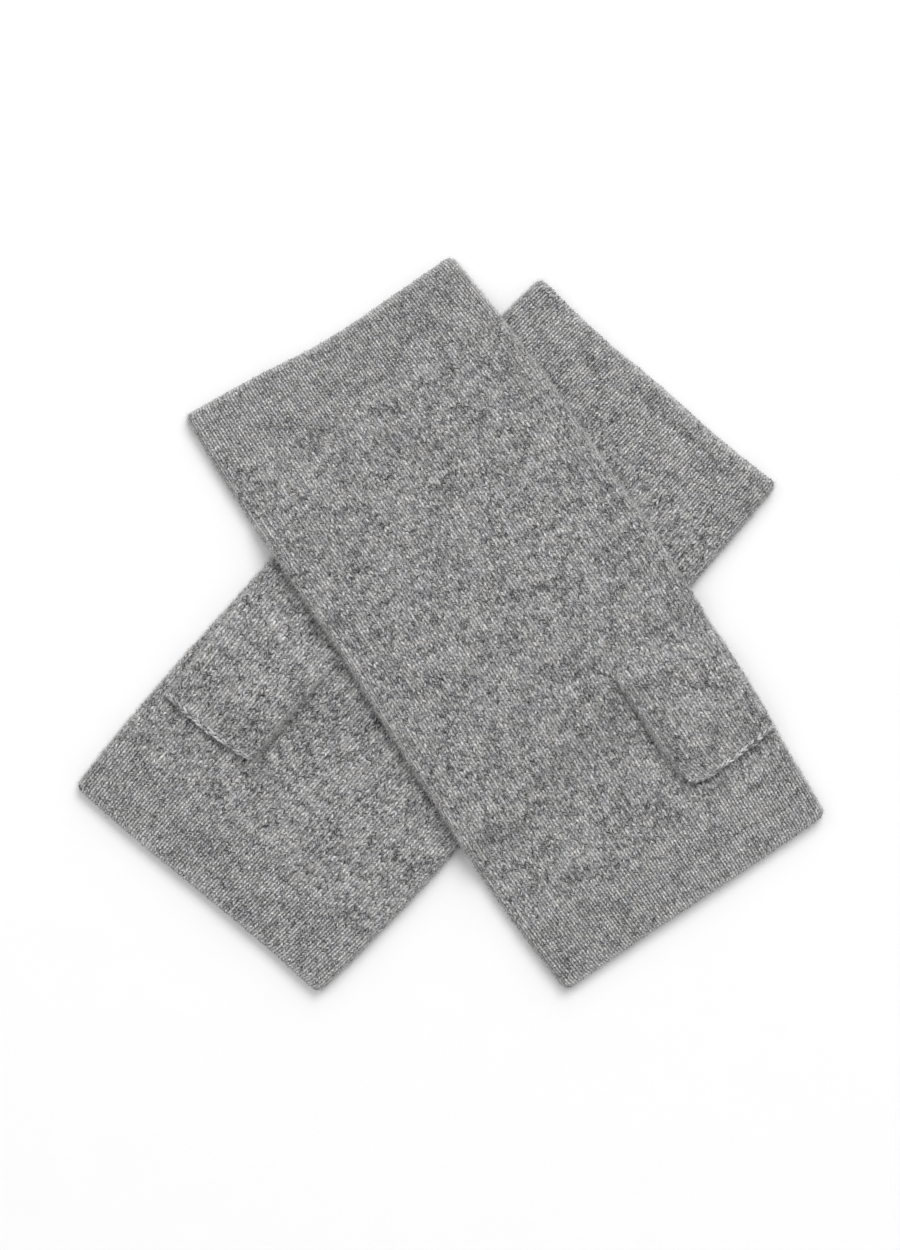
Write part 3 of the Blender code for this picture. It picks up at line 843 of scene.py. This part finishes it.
def add_chain(warmer):
    """The chain of loops that ends a thumb tube: rows of short slanting links round its rim."""
    draw = np.random.default_rng(warmer.seed + CHAIN_SEED)
    links = 2 * THUMB_WALES
    steps = np.linspace(0, 1, CHAIN_POINTS)
    section = np.sin(math.pi * (CHAIN_TIP + (1 - 2 * CHAIN_TIP) * steps))
    arch = CHAIN_ARCH * (1 - np.sin(math.pi * steps))
    paths, radii = [], []
    for k, row in enumerate(CHAIN_ROWS):
        start = (np.arange(links) + 0.5 * k + draw.normal(0, CHAIN_SPREAD, links)) / THUMB_WALES
        around = np.mod(start[:, None] + steps * CHAIN_LINK / THUMB_WALES, 2)
        slant = CHAIN_SLANT * (1 - 2 * steps) * (-1) ** k
        slant = slant + draw.normal(0, CHAIN_SLANT_SPREAD, (links, 1))
        share = 1 + (row.past + slant) / THUMB_LENGTH
        paths.append(thumb_form(warmer, around, share, row.inset + arch))
        sizes = draw.uniform(*CHAIN_SIZES, (links, 1)) * row.radius * CHAIN_RADIUS
        radii.append(sizes * section)
    paths, radii = np.concatenate(paths), np.concatenate(radii)
    paths[..., 2] = np.maximum(paths[..., 2], radii)
    tones = draw.uniform(*CHAIN_TONES, len(paths))
    return strand_piece(warmer.name + "_thumb_chain", paths, radii, CHAIN_SIDES, tones)


# ---- materials ----------------------------------------------------------------------------
class Nodes:
    """Short calls for a material's nodes; a number or a socket can feed any input."""

    def __init__(self, name):
        self.material = bpy.data.materials.new(name)
        self.material.use_nodes = True
        self.tree = self.material.node_tree
        self.shader = self.tree.nodes["Principled BSDF"]

    def add(self, kind, settings=None, **inputs):
        """A new node's outputs. An input is given by its name, or by _ and its number."""
        node = self.tree.nodes.new("ShaderNode" + kind)
        for key, value in (settings or {}).items():
            setattr(node, key, value)
        for key, value in inputs.items():
            self.feed(node.inputs[int(key[1:]) if key[0] == "_" else key], value)
        return node.outputs

    def feed(self, socket, value):
        if isinstance(value, bpy.types.NodeSocket):
            self.tree.links.new(value, socket)
        else:
            socket.default_value = value

    def math(self, operation, *values):
        inputs = {f"_{i}": value for i, value in enumerate(values)}
        return self.add("Math", {"operation": operation}, **inputs)[0]

    def vector(self, operation, *values):
        inputs = {f"_{i}": value for i, value in enumerate(values)}
        return self.add("VectorMath", {"operation": operation}, **inputs)[0]

    def noise(self, place, scale, detail=2.0, rough=0.55):
        inputs = {"Vector": place, "Scale": scale, "Detail": detail, "Roughness": rough}
        return self.add("TexNoise", {"noise_dimensions": "3D"}, **inputs)[0]

    def mixed(self, blend, share, a, b):
        """Two colours mixed, by the node's inputs 6 and 7 and its output 2, the colour ones."""
        outputs = self.add("Mix", {"data_type": "RGBA", "blend_type": blend},
                           _0=share, _6=a, _7=b)
        return outputs[2]

    def attribute(self, name):
        return self.add("Attribute", {"attribute_name": name})["Fac"]

    def ramp(self, value, stops):
        """A colour for each value; the first two stops are the lowest and the highest."""
        outputs = self.add("ValToRGB", _0=value)
        ramp = outputs[0].node.color_ramp
        for i, (at, colour) in enumerate(stops):
            stop = ramp.elements[i] if i < 2 else ramp.elements.new(at)
            stop.position, stop.color = at, (*colour, 1)
        return outputs[0]

    def grain(self, uv, kind):
        stretched = self.vector("MULTIPLY", uv, (kind.wale, kind.course, 1.0))
        return self.noise(stretched, 1.0, kind.detail, kind.rough)

    def centred(self, value, amount):
        """A 0 to 1 value as a swing of that amount to both sides of 0."""
        return self.math("MULTIPLY", self.math("SUBTRACT", value, 0.5), amount)


def fibre_colour(n, uv, place, fibre, loose):
    """Each leg's own tone, with grain along the yarn and soft clouds, as a tinted colour."""
    leg = n.vector("FLOOR", n.vector("MULTIPLY", uv, LEG_CELLS))
    leg = n.add("TexWhiteNoise", {"noise_dimensions": "3D"}, Vector=leg)[0]
    leg_swing = n.math("ADD", LEG_SWING, n.math("MULTIPLY", loose, LOOSE_LEG_SWING))
    tone = n.math("ADD", 0.5, n.math("MULTIPLY", n.centred(leg, 1.0), leg_swing))
    cloud = n.noise(place, CLOUD_SCALE, 2.0, 0.5)
    for value, amount in (
        (n.grain(uv, YARN), YARN.amount),
        (fibre, FIBRE.amount),
        (n.grain(uv, STREAK), STREAK.amount),
        (cloud, CLOUD_AMOUNT),
    ):
        tone = n.math("ADD", tone, n.centred(value, amount))
    warmth = n.noise(n.vector("ADD", place, TINT_SHIFT), TINT_SCALE, 2.0, 0.6)
    return n.mixed("MULTIPLY", 1.0, n.ramp(tone, FIBRES), n.ramp(warmth, TINTS))


def painted_groove_shade(n, place, loose):
    """Painted shade in the grooves and a painted highlight on the crests, softened here and there
    by a haze of fibres.
    """
    height = n.attribute("height")
    shade = n.mixed("MIX", loose, n.ramp(height, TIGHT_PAINTED_SHADE), n.ramp(height, LOOSE_PAINTED_SHADE))
    haze = n.centred(n.noise(place, HAZE_SCALE, 2.0, 0.6), HAZE_SWING)
    haze = n.math("ADD", haze, n.math("ADD", HAZE, n.math("MULTIPLY", loose, LOOSE_HAZE)))
    return n.mixed("MIX", haze, shade, (*HAZE_SHADE, 1))


def heather(name, seed):
    """Melange jersey: dark, middle and light fibres, in stitches, with painted shade in the
    grooves, a painted highlight on the crests and a painted highlight along the folds and rims.
    """
    n = Nodes(name)
    uv = n.vector("ADD", n.add("UVMap", {"uv_map": "stitch"})[0], (0.0, 0.0, seed * UV_SHIFT))
    place = n.vector("ADD", n.add("TexCoord")["Object"], (seed * PLACE_SHIFT, 0.0, 0.0))
    loose = n.attribute("loose")
    fibre = n.grain(uv, FIBRE)
    colour = fibre_colour(n, uv, place, fibre, loose)
    # painted shade in the grooves and painted highlight on the crests
    colour = n.mixed("MULTIPLY", 1.0, colour, painted_groove_shade(n, place, loose))
    # painted highlight along the folds and rims
    brushed = n.math("ADD", FOLD_HIGHLIGHT, n.centred(fibre, FOLD_HIGHLIGHT_SWING))
    brushed = n.math("MULTIPLY", n.attribute("brushed"), brushed)
    colour = n.mixed("MIX", brushed, colour, (*FOLD_HIGHLIGHT_COLOUR, 1))
    n.feed(n.shader.inputs["Base Color"], colour)
    roughness = n.math("ADD", KNIT_ROUGHNESS, n.centred(fibre, ROUGHNESS_SWING))
    n.feed(n.shader.inputs["Roughness"], roughness)
    bump = n.add("Bump", Height=fibre, **KNIT_BUMP)
    n.feed(n.shader.inputs["Normal"], bump[0])
    finish(n.shader)
    return n.material


def loose_yarn(name):
    """Single fibres and chain loops, each of its own tone, with finer fibres across them."""
    n = Nodes(name)
    tone = n.attribute("tone")
    place = n.add("TexCoord")["Object"]
    fine = n.noise(place, FINE_SCALE, 2.0, 0.6)
    for value, amount in ((n.noise(place, BLOTCH_SCALE), BLOTCH_AMOUNT), (fine, FINE_AMOUNT)):
        tone = n.math("ADD", tone, n.centred(value, amount))
    n.feed(n.shader.inputs["Base Color"], n.ramp(tone, FIBRES))
    bump = n.add("Bump", Height=fine, **YARN_BUMP)
    n.feed(n.shader.inputs["Normal"], bump[0])
    n.shader.inputs["Roughness"].default_value = SOFT_ROUGHNESS
    finish(n.shader)
    return n.material


def finish(shader):
    """The soft dull sheen of brushed wool."""
    shader.inputs["Specular IOR Level"].default_value = 0.2
    shader.inputs["Sheen Weight"].default_value = 0.25
    shader.inputs["Sheen Roughness"].default_value = 0.45
    shader.inputs["Sheen Tint"].default_value = (0.95, 0.95, 0.95, 1)


# ---- the warmers --------------------------------------------------------------------------
def thumb_hole(warmer):
    """Cells of the hand tube's front that the opening under the thumb's root leaves out."""
    rows = range(0, HAND_COURSES, LINING_COURSES)
    root = read(warmer.lines, "root", 0.0) + THUMB_HOLE_PAST_ROOT
    row = min(rows, key=lambda k: abs(hand_share(k + LINING_COURSES / 2) * LENGTH - root))
    first, last = (HAND_WALES / 2 * (1 + across) for across in THUMB_HOLE_ACROSS)
    columns = range(0, HAND_WALES, LINING_WALES)
    return [(row, column) for column in columns if first <= column + 1 <= last]


def add_warmer(warmer):
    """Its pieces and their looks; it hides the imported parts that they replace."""
    draw = np.random.default_rng(warmer.seed)
    jersey = heather(warmer.name + "_heather", warmer.seed)
    yarn = loose_yarn(warmer.name + "_yarn")
    hand = Knit(warmer, hand_form, hand_share, HAND_WALES, HAND_COURSES, END_COURSES)
    thumb = Knit(warmer, thumb_form, thumb_share, THUMB_WALES, THUMB_COURSES, 0)
    hand_skin = knitted(hand, draw)
    thumb_skin = root_painted_shade(knitted(thumb, draw))
    front = knit_piece("_hand_front", hand, hand_skin, (0, HAND_WALES), thumb_hole(warmer))
    back = knit_piece("_hand_back", hand, hand_skin, (HAND_WALES, 2 * HAND_WALES))
    thumb_piece = knit_piece("_thumb_knit", thumb, thumb_skin, (0, 2 * THUMB_WALES))
    nap = add_nap(warmer, (hand_skin, thumb_skin))
    chain = add_chain(warmer)
    looks = ((front, jersey), (back, jersey), (thumb_piece, jersey), (nap, yarn), (chain, yarn))
    for piece, material in looks:
        piece.data.materials.append(material)
        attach(piece, "root")
    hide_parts(warmer.name + "_hand")
    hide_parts(warmer.name + "_hand")
    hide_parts(warmer.name + "_thumb")


# ---- stage --------------------------------------------------------------------------------
def paper(name):
    n = Nodes(name)
    grain = n.noise(n.add("TexCoord")["Object"], PAPER_SCALE)
    colour = n.mixed("MULTIPLY", PAPER_GRAIN, (*PAPER, 1), grain)
    n.feed(n.shader.inputs["Base Color"], colour)
    n.shader.inputs["Roughness"].default_value = SOFT_ROUGHNESS
    return n.material


def add_floor():
    mesh = bpy.data.meshes.new("floor")
    half = FLOOR_HALF
    corners = [(-half, -half, 0), (half, -half, 0), (half, half, 0), (-half, half, 0)]
    mesh.from_pydata(corners, [], [(0, 1, 2, 3)])
    mesh.materials.append(paper("paper"))
    floor = add_piece("floor", mesh)
    floor.location.z = -FLOOR_DROP


def add_lights():
    for light in LIGHTS:
        lamp = bpy.data.lights.new(light.name, "AREA")
        lamp.shape = "DISK"
        lamp.size = light.size
        lamp.energy = light.power
        holder = bpy.data.objects.new(light.name, lamp)
        holder.location = light.place
        holder.rotation_euler = (-Vector(light.place)).to_track_quat("-Z", "Y").to_euler()
        bpy.context.scene.collection.objects.link(holder)


def add_world():
    world = bpy.data.worlds.new("studio")
    world.use_nodes = True
    background = world.node_tree.nodes["Background"]
    background.inputs["Color"].default_value = (1, 1, 1, 1)
    background.inputs["Strength"].default_value = WORLD_LIGHT
    bpy.context.scene.world = world
    bpy.context.scene.view_settings.view_transform = "Standard"


def add_camera():
    lens = bpy.data.cameras.new("camera")
    lens.lens = lens.sensor_width * (CAMERA_HEIGHT - HAND_THICKNESS) / VIEW_HEIGHT
    lens.clip_end = CLIP_END
    camera = bpy.data.objects.new("camera", lens)
    camera.location = (*VIEW_CENTRE, CAMERA_HEIGHT)
    bpy.context.scene.collection.objects.link(camera)
    bpy.context.scene.camera = camera


add_camera()
for each_warmer in (LOWER, UPPER):
    add_warmer(each_warmer)
add_floor()
add_lights()
add_world()
